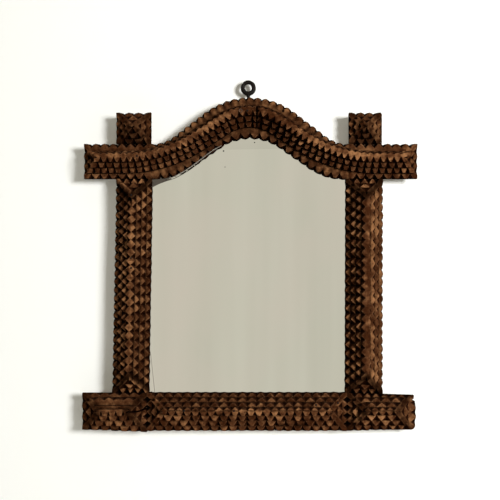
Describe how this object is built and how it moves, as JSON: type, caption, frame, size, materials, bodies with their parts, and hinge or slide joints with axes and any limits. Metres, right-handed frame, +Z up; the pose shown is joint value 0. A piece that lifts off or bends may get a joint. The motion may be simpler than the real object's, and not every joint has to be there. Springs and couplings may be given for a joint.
{
  "type": "carved wall mirror",
  "caption": "Wall mirror in a dark chip-carved wooden frame of stacked notched strips, arched top rail, crossed corners with projecting ends, and a screw eye to hang it.",
  "frame": {"origin": "centre of the hanging ring of the screw eye, in the middle of the ring's wire", "axes": "+Z up, +X to the viewer's right, -Y towards the viewer, so the wall is on the +Y side"},
  "size_m": [0.3355, 0.0308, 0.3544],
  "materials": {
    "carved_wood": "dark red-brown stain over notched thin wood, worn lighter on the tooth tops",
    "carcass_wood": "plain sawn softwood with a thin brown stain",
    "backing_wood": "thin unstained board, aged and dusty",
    "old_mirror": "old silvered glass, slightly warm, with a few dark specks",
    "dark_iron": "dark oxidised iron wire"
  },
  "bodies": {
    "root": {"arch_base_strip": "carved_wood", "backing_board": "backing_wood", "bottom_left_base_strip": "carved_wood", "bottom_left_ridge_strip": "carved_wood", "bottom_left_second_strip": "carved_wood", "bottom_left_third_strip": "carved_wood", "bottom_middle_base_strip": "carved_wood", "bottom_middle_ridge_strip": "carved_wood", "bottom_middle_second_strip": "carved_wood", "bottom_middle_third_strip": "carved_wood", "bottom_rail_board": "carcass_wood", "bottom_right_base_strip": "carved_wood", "bottom_right_ridge_strip": "carved_wood", "bottom_right_second_strip": "carved_wood", "bottom_right_third_strip": "carved_wood", "left_arch_ridge_strip": "carved_wood", "left_arch_second_strip": "carved_wood", "left_arch_third_strip": "carved_wood", "left_arm_base_strip": "carved_wood", "left_stile_base_strip": "carved_wood", "left_stile_board": "carcass_wood", "left_stile_ridge_strip": "carved_wood", "left_stile_second_strip": "carved_wood", "left_stile_third_strip": "carved_wood", "left_stub_base_strip": "carved_wood", "left_stub_ridge_strip": "carved_wood", "left_stub_second_strip": "carved_wood", "left_stub_third_strip": "carved_wood", "mirror_glass": "old_mirror", "right_arch_ridge_strip": "carved_wood", "right_arch_second_strip": "carved_wood", "right_arch_third_strip": "carved_wood", "right_arm_base_strip": "carved_wood", "right_stile_base_strip": "carved_wood", "right_stile_board": "carcass_wood", "right_stile_ridge_strip": "carved_wood", "right_stile_second_strip": "carved_wood", "right_stile_third_strip": "carved_wood", "right_stub_base_strip": "carved_wood", "right_stub_ridge_strip": "carved_wood", "right_stub_second_strip": "carved_wood", "right_stub_third_strip": "carved_wood", "screw_eye": "dark_iron", "top_rail_board": "carcass_wood"}
  },
  "joints": []
}
